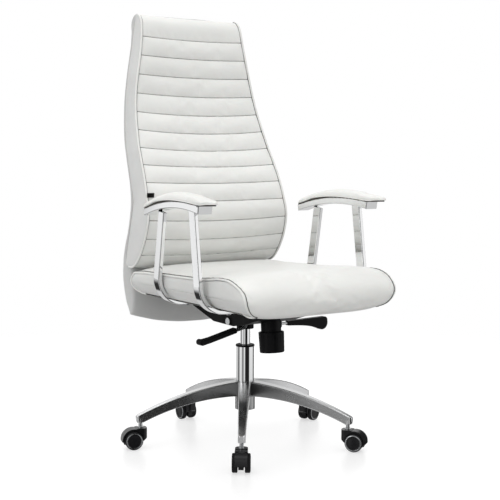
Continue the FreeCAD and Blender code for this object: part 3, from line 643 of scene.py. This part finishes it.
def back():
    front, seam_shades = back_front()
    shell = back_shell()
    white = [front] + seam_shades
    grey = [shell]
    for side in (1, -1):
        word = "left" if side > 0 else "right"
        gusset, row = back_gusset(side)
        edge = side_line(BACK_EDGE, 260, 0.0006) * (side, 1, 1)
        rear = side_line(GUSSET_REAR, 200, 0.0006) * (side, 1, 1)
        white.append(tube("back_piping_" + word, edge, 0.0031, WHITE))
        for index, (inward, back_by) in enumerate(((0.0042, 0.0012), (0.0, 0.0042))):
            shade = side_line(BACK_EDGE, 260, 0.0006 - inward) * (side, 1, 1) + (0, back_by, 0)
            white.append(tube("back_piping_shade_%s_%d" % (word, index), shade, 0.0011, SEAM_SHADE, sides=8))
        grey += [gusset, row, tube("back_rear_welt_" + word, rear, 0.0020, GREY)]
        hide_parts("back_cushion")
    for piece in white + grey:
        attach(piece, "seat_frame")
    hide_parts("back_cushion")
    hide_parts("back_shell")


# ---- seat --------------------------------------------------------------------

# Side outlines of the seat from its lower rear edge round to its lower front edge: at the side
# piping, and along the middle
SEAT_EDGE = [
    (180, 414), (200, 420), (213, 434), (213, 452), (200, 468), (178, 477), (62, 482), (-59, 485),
    (-167, 489), (-242, 497), (-287, 496), (-322, 485), (-345, 468), (-353, 449), (-349, 425),
    (-341, 412), (-318, 407), (-290, 412),
]
SEAT_MIDDLE = [
    (188, 414), (203, 420), (212, 436), (210, 460), (196, 480), (150, 493), (50, 496), (-60, 498),
    (-180, 504), (-245, 507), (-292, 506), (-333, 493), (-357, 470), (-363, 445), (-356, 416),
    (-338, 400), (-316, 401), (-290, 411),
]
SEAT_HALF = 0.2465
SIDE_SEAMS = ((62, 76), (-167, -182))       # Y of each side seam at its top and foot, in millimetres


def seat_side_x(z):
    """Half width of the seat at a height: upright, then tucked under along a round."""
    drop = np.clip((0.462 - z) / 0.050, 0, 1)
    return SEAT_HALF - 0.044 * (1 - np.sqrt(1 - drop * drop * 0.999))


def seat_panel():
    """Top, front and underside of the seat in one sweep between its two side pipings."""
    count = 190
    edge = spline_points(SEAT_EDGE, count) * MM
    middle = spline_points(SEAT_MIDDLE, count) * MM
    along = np.gradient(edge, axis=0)
    along /= np.linalg.norm(along, axis=1)[:, None]
    out = np.stack([-along[:, 1], along[:, 0]], 1)
    cols = 91
    across = np.linspace(-1, 1, cols)
    across = np.sin(across * math.pi / 2) * 0.3 + across * 0.7
    verts = []
    for r in range(count):
        corner = seat_side_x(edge[r, 1]) - 0.004 * smoothstep((-0.31 - edge[r, 0]) / 0.04)
        for u in across:
            blend = (1 - abs(u) ** 5) ** 0.8
            dive = 0.0028 * abs(u) ** 60
            y = edge[r, 0] + (middle[r, 0] - edge[r, 0]) * blend - out[r, 0] * dive
            z = edge[r, 1] + (middle[r, 1] - edge[r, 1]) * blend - out[r, 1] * dive
            verts.append((u * corner, y, z))
    faces = grid_faces(count, cols, flip=True)
    faces += [(c, c + 1, (count - 1) * cols + c + 1, (count - 1) * cols + c) for c in range(cols - 1)]
    piece = mesh_piece("seat_panel", verts, faces, WHITE)
    points = np.array(verts)
    pinned = (points[:, 2] < 0.412) | (np.tile(abs(across) > 0.999, count))
    cloth_pass(piece, pinned, 1.5, 0.004, slack=0.004, bending=3.0)
    points = get_points(piece)
    normals = vertex_normals(piece)
    quiet = np.tile(1 - abs(across) ** 8, count)
    creases = 0.0007 * lumps(points * (1.0, 1.6, 1.0), 0.11, 2)
    creases += 0.0002 * lumps(points * (1.0, 2.4, 1.0), 0.04, 9)
    set_points(piece, points + normals * (creases * quiet)[:, None])
    shades = []
    for word, column in (("left", cols - 2), ("right", 1)):
        line = (points + normals * 0.0005).reshape(count, cols, 3)[:, column]
        shades.append(tube("seat_piping_shade_" + word, line, 0.0012, SEAM_SHADE, sides=8))
    apply_subdivision(piece)
    return piece, shades


def seat_side(side):
    """D-shaped side panel: rings from the piping inwards, slightly full, with two sewn seams."""
    count = 240
    edge = spline_points(SEAT_EDGE + [(-150, 414), (20, 414)], count) * MM
    steps = 12
    verts = []
    for step in range(steps + 1):
        t = step / steps
        for y, z in edge:
            yy = y + (np.clip(y, -0.300, 0.170) - y) * t
            zz = z + (0.448 - z) * t
            full = 0.0034 * math.sin(math.pi / 2 * min(1, t * 2.2)) * smoothstep((zz - 0.425) / 0.03)
            full -= 0.0026 * (1 - t) ** 40
            x = seat_side_x(zz) + full - 0.004 * smoothstep((-0.31 - yy) / 0.04)
            for top, foot in SIDE_SEAMS:
                at = (foot + (top - foot) * (zz - 0.414) / 0.07) * MM
                away = abs(yy - at)
                x -= 0.0030 * math.exp(-((away / 0.0028) ** 2)) * smoothstep(t / 0.05)
                x += 0.0012 * math.exp(-(((away - 0.010) / 0.006) ** 2))
            verts.append((x, yy, zz))
    faces = grid_faces(steps + 1, count, wrap=True)
    verts = np.array(verts)
    verts[:, 0] += 0.0006 * lumps(verts, 0.04, 21 + side)
    verts[:, 0] *= side
    word = "left" if side > 0 else "right"
    piece = mesh_piece("seat_side_" + word, verts, faces, GREY_WHITE)
    close_ends(piece)
    outward = sum(p.normal.x * p.area for p in piece.data.polygons) * side
    if outward < 0:
        piece.data.flip_normals()
    apply_subdivision(piece)
    return piece


def seat():
    panel, shades = seat_panel()
    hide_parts("seat_cushion")
    pieces = [panel] + shades
    for side in (1, -1):
        word = "left" if side > 0 else "right"
        edge = spline_points(SEAT_EDGE, 240) * MM
        x = seat_side_x(edge[:, 1]) - 0.004 * smoothstep((-0.31 - edge[:, 0]) / 0.04) + 0.0004
        line = np.stack([side * x, edge[:, 0], edge[:, 1]], 1)
        pieces.append(seat_side(side))
        pieces.append(tube("seat_piping_" + word, line, 0.0028, WHITE))
    for piece in pieces:
        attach(piece, "seat_frame")


# ---- arm pads ----------------------------------------------------------------

# Arm pad along its length, in millimetres: height of its top and foot, and half its width
PAD_TOP = [(-271, 690), (-262, 694), (-240, 698), (-200, 703), (-140, 709), (-80, 710),
           (-30, 704), (20, 694), (60, 682), (77, 673)]
PAD_FOOT = [(-271, 684.5), (-245, 683.5), (-222, 681.5), (-150, 687.6), (-72, 689), (0, 683),
            (40, 673), (77, 663)]
PAD_HALF = [(-271, 3), (-266, 9), (-258, 13.5), (-240, 18), (-215, 22), (-180, 24.4), (-150, 25.4),
            (0, 25.4), (62, 25), (71, 22), (77, 13)]
ARM_CENTRE = Vector((0.266, -0.072, 0))
ARM_SPLAY = math.radians(2.4)


def profile_at(points, y):
    line = spline_points(points, 300) * MM
    return np.interp(y, line[:, 0], line[:, 1])


def splayed(points, side):
    """Turns points given about the straight rail into the arm's splayed place, on either side."""
    c, s = math.cos(ARM_SPLAY), math.sin(ARM_SPLAY)
    moved = np.array(points, float)
    x = moved[:, 0]
    y = moved[:, 1] - ARM_CENTRE.y
    moved[:, 0], moved[:, 1] = ARM_CENTRE.x + x * c - y * s, ARM_CENTRE.y + x * s + y * c
    moved[:, 0] *= side
    return moved


def arm_pad(side):
    """Leather pad: flat underside, domed top, drawn in to a rounded point at the front."""
    word = "left" if side > 0 else "right"
    t = np.linspace(0, 1, 90)
    ys = -0.271 + 0.348 * (t * 0.5 + 0.5 * (1 - np.cos(np.pi * t)) / 2)
    tops, feet, halves = (profile_at(p, ys) for p in (PAD_TOP, PAD_FOOT, PAD_HALF))
    arc = 29
    under = 7
    verts = []
    welt = []
    for y, top, foot, half in zip(ys, tops, feet, halves):
        wall = min(0.003, (top - foot) * 0.4)
        for k in range(arc):
            angle = math.pi * k / (arc - 1)
            cx, sz = math.cos(angle), math.sin(angle)
            x = half * math.copysign(abs(cx) ** 0.72, cx)
            verts.append((x, y, foot + wall + (top - foot - wall) * sz ** 0.85))
        for k in range(under):
            verts.append((half * 0.97 * (2 * (k + 0.5) / under - 1), y, foot))
        welt.append((half, y, foot + 0.0016))
    cols = arc + under
    faces = grid_faces(len(ys), cols, wrap=True)
    piece = mesh_piece("arm_pad_cover_" + word, splayed(verts, side), faces, WHITE)
    close_ends(piece)
    column = np.arange(cols)
    pinned = np.tile((column >= arc - 1) | (column == 0), len(ys))
    cloth_pass(piece, pinned, 1.2, 0.0012, slack=0.01, bending=1.0, frames=12)
    points = get_points(piece)
    normals = vertex_normals(piece)
    ripple = 0.0005 * lumps(points, 0.03, 31 + side) * ~pinned
    set_points(piece, points + normals * ripple[:, None])
    apply_subdivision(piece)
    rim = np.array(welt + [(-x, y, z) for x, y, z in reversed(welt)])
    rim[:, 0] *= 0.985
    cord = tube("arm_pad_welt_" + word, splayed(rim, side), 0.0014, WHITE, sides=8, closed=True)
    for made in (piece, cord):
        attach(made, "seat_frame")
    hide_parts("arm_pad_" + word)


# ---- sewn tab ----------------------------------------------------------------

def sewn_tab():
    """Plain black tape folded under the piping on the sitter's right."""
    rows, cols = 9, 13
    verts = []
    for r in range(rows):
        for c in range(cols):
            u, v = c / (cols - 1), r / (rows - 1)
            x = -0.2385 + 0.026 * u
            y = 0.1395 - 0.0085 * math.sin(math.pi * min(1, 0.25 + 0.75 * u)) - 0.002 * u
            verts.append((x, y + 0.0012 * math.sin(2.4 * u + v), 0.688 + 0.013 * v))
    piece = mesh_piece("sewn_tab", verts, grid_faces(rows, cols), TAB_CLOTH)
    solid = piece.modifiers.new("thick", "SOLIDIFY")
    solid.thickness = 0.0014
    bake_modifiers(piece)
    apply_subdivision(piece)
    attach(piece, "seat_frame")


# ---- casters -----------------------------------------------------------------

def wheel(number, word):
    """Twin-wheel half: grooved tread, bright ring and a dished disc, turned about its axle."""
    node = "caster_%d_wheel_%s" % (number, word)
    points = get_points(frame["nodes"][node])
    joint = next(j for j in frame["joints"] if j["name"] == node + "_spin")
    axis = Vector(joint["axis"]) * (1 if word == "left" else -1)
    centre = Vector(joint["pos_m"])
    offsets = (points - np.array(centre)) @ np.array(axis)
    inner, outer = offsets.min(), offsets.max()
    radius = (points[:, 2].max() - points[:, 2].min()) / 2
    width = outer - inner
    # Radius, place along the axle, and material of the strip that ends there
    profile = [
        (0.0045, 0.0, TYRE),
        (0.018, 0.0, TYRE),
        (radius - 0.0022, 0.0, TYRE),
        (radius - 0.0006, 0.0006, TYRE),
        (radius, 0.0022, TYRE),
        (radius, width * 0.45, TYRE),
        (radius - 0.0004, width * 0.5, TYRE),
        (radius, width * 0.55, TYRE),
        (radius, width - 0.0034, TYRE),
        (radius - 0.0008, width - 0.0012, TYRE),
        (radius - 0.0024, width - 0.0002, TYRE),
        (radius - 0.0040, width - 0.0006, RING),
        (radius - 0.0043, width, RING),
        (radius - 0.0056, width, RING),
        (radius - 0.0060, width - 0.0008, HOOD),
        (radius - 0.0068, width - 0.0016, HOOD),
        (radius - 0.0105, width - 0.0012, HOOD),
        (radius * 0.4, width - 0.0004, HOOD),
        (0.003, width - 0.0001, HOOD),
        (0.0, width, HOOD),
    ]
    side = axis.cross(Vector((0, 0, 1))).normalized()
    up = Vector((0, 0, 1))
    segments = 56
    verts = []
    for r, a, _ in profile:
        for k in range(segments):
            angle = 2 * math.pi * k / segments
            around = side * math.cos(angle) + up * math.sin(angle)
            verts.append(centre + axis * (inner + a) + around * max(r, 0.00002))
    faces = grid_faces(len(profile), segments, wrap=True)
    piece = mesh_piece(node + "_turned", verts, faces)
    materials = [TYRE, RING, HOOD]
    for material in materials:
        piece.data.materials.append(material)
    for index, polygon in enumerate(piece.data.polygons):
        polygon.material_index = materials.index(profile[index // segments + 1][2])
    close_ends(piece)
    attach(piece, node)
    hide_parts(node)


# ---- stage -------------------------------------------------------------------

SENSOR_MM = 36
FOCAL_PX = 1104.76      # focal length for a picture of PICTURE_PX pixels
PICTURE_PX = 500


def camera():
    """Camera in front of the chair and to one side, above the seat, looking a little down."""
    azimuth = math.radians(-34.41)
    distance = 3.0793
    height = 0.8054
    pan = math.radians(-0.24)
    pitch = math.radians(4.889)
    roll = math.radians(0.19)
    data = bpy.data.cameras.new("camera")
    data.sensor_width = SENSOR_MM
    data.lens = SENSOR_MM * FOCAL_PX / PICTURE_PX
    data.clip_end = 50
    view = bpy.data.objects.new("camera", data)
    scene.collection.objects.link(view)
    view.location = (math.sin(azimuth) * distance, -math.cos(azimuth) * distance, height)
    bearing = azimuth + pan
    level = math.cos(pitch)
    forward = Vector((-math.sin(bearing) * level, math.cos(bearing) * level, -math.sin(pitch)))
    turn = forward.to_track_quat("-Z", "Y")
    view.rotation_mode = "QUATERNION"
    view.rotation_quaternion = turn @ Quaternion((0, 0, 1), roll)
    scene.camera = view


def area_light(name, where, target, size, power):
    data = bpy.data.lights.new(name, "AREA")
    data.shape = "RECTANGLE"
    data.size, data.size_y = size
    data.energy = power
    light = bpy.data.objects.new(name, data)
    scene.collection.objects.link(light)
    light.location = where
    light.rotation_mode = "QUATERNION"
    light.rotation_quaternion = (Vector(target) - Vector(where)).to_track_quat("-Z", "Y")


# Brightness of the surround by height, from straight down at 0 to straight up at 1
WORLD_BANDS = ((0.0, 0.60), (0.37, 0.64), (0.43, 0.92), (0.488, 0.95), (0.497, 0.5), (0.505, 0.5),
               (0.52, 0.94), (0.65, 0.98), (0.80, 0.92), (0.92, 0.92))
# Dark upright strips that only mirrors see, by direction, once round from 0 to 1
WORLD_STRIPS = ((0.0, 1.0), (0.03, 1.0), (0.045, 0.30), (0.10, 0.30), (0.115, 1.0), (0.15, 1.0),
                (0.16, 0.02), (0.30, 0.02), (0.315, 1.0), (0.41, 1.0), (0.48, 1.0), (0.50, 0.03),
                (0.59, 0.03), (0.61, 1.0), (0.77, 1.0), (0.78, 0.05), (0.81, 0.05), (0.82, 1.0),
                (0.87, 1.0), (0.88, 0.03), (0.93, 0.03), (0.945, 1.0))


def studio_world():
    """White to the camera; soft bands of light by height, with dark strips that metal mirrors."""
    world = bpy.data.worlds.new("studio")
    scene.world = world
    world.use_nodes = True
    tree = world.node_tree
    place = tree.nodes.new("ShaderNodeTexCoord").outputs["Generated"]
    split = tree.nodes.new("ShaderNodeSeparateXYZ")
    tree.links.new(place, split.inputs[0])

    def ramp(source, stops):
        node = tree.nodes.new("ShaderNodeValToRGB")
        elements = node.color_ramp.elements
        for index, (position, value) in enumerate(stops):
            element = elements[index] if index < 2 else elements.new(position)
            element.position = position
            element.color = (value, value, value, 1)
        tree.links.new(source, node.inputs["Fac"])
        return node.outputs["Color"]

    height = tree.nodes.new("ShaderNodeMath")
    height.operation = "MULTIPLY_ADD"
    height.inputs[1].default_value = 0.5
    height.inputs[2].default_value = 0.5
    tree.links.new(split.outputs["Z"], height.inputs[0])
    bands = ramp(height.outputs[0], WORLD_BANDS)
    turn = tree.nodes.new("ShaderNodeMath")
    turn.operation = "ARCTAN2"
    tree.links.new(split.outputs["Y"], turn.inputs[0])
    tree.links.new(split.outputs["X"], turn.inputs[1])
    around = tree.nodes.new("ShaderNodeMath")
    around.operation = "MULTIPLY_ADD"
    around.inputs[1].default_value = 0.5 / math.pi
    around.inputs[2].default_value = 0.5
    tree.links.new(turn.outputs[0], around.inputs[0])
    strips = ramp(around.outputs[0], WORLD_STRIPS)
    light = tree.nodes.new("ShaderNodeMix")
    light.data_type = "RGBA"
    light.blend_type = "MULTIPLY"
    rays = tree.nodes.new("ShaderNodeLightPath").outputs
    tree.links.new(rays["Is Glossy Ray"], light.inputs["Factor"])
    tree.links.new(bands, light.inputs["A"])
    tree.links.new(strips, light.inputs["B"])
    mix = tree.nodes.new("ShaderNodeMix")
    mix.data_type = "RGBA"
    tree.links.new(rays["Is Camera Ray"], mix.inputs["Factor"])
    tree.links.new(light.outputs["Result"], mix.inputs["A"])
    mix.inputs["B"].default_value = (1, 1, 1, 1)
    background = tree.nodes["Background"]
    tree.links.new(mix.outputs["Result"], background.inputs["Color"])
    background.inputs["Strength"].default_value = 1.0


def studio():
    """Floor that fades out to white, the surround, three area lights and the view settings."""
    n = Nodes("studio_floor")
    length = n.add("ShaderNodeVectorMath", operation="LENGTH")
    n.link(n.place, length.inputs[0])
    cloud = n.texture("ShaderNodeTexNoise", Scale=2.0, Detail=2.0)
    tint = n.ramp(cloud.outputs["Fac"], ((0.3, 0.36), (0.7, 0.38)))
    fade = n.ramp(n.combine("MULTIPLY", length.outputs["Value"], 0.4), ((0.42, 1.0), (0.84, 0.0)))
    n.link(fade, n.shader.inputs["Alpha"])
    n.finish(tint, None, None, Roughness=0.3, Specular_IOR_Level=0.25, Emission_Strength=0.60,
             Emission_Color=(1, 1, 1, 1))
    size = 2.4
    verts = [(-size, -size, 0), (size, -size, 0), (size, size, 0), (-size, size, 0)]
    floor = mesh_piece("studio_floor", verts, [(0, 1, 2, 3)], n.material)
    floor.visible_glossy = False
    floor.visible_diffuse = False
    studio_world()
    area_light("overhead", (-0.3, -0.4, 5.4), (0, 0, 0.5), (6.0, 6.0), 118)
    area_light("left", (-3.2, -0.3, 1.5), (0, 0, 0.7), (1.2, 2.4), 12)
    area_light("front", (-2.0, -3.4, 2.6), (0, 0.1, 0.9), (1.6, 1.6), 4)
    scene.view_settings.view_transform = "Standard"
    scene.view_settings.look = "None"


dress_cad_nodes()
back()
seat()
for side in (1, -1):
    arm_pad(side)
sewn_tab()
for number in range(1, 6):
    for word in ("left", "right"):
        wheel(number, word)
camera()
studio()
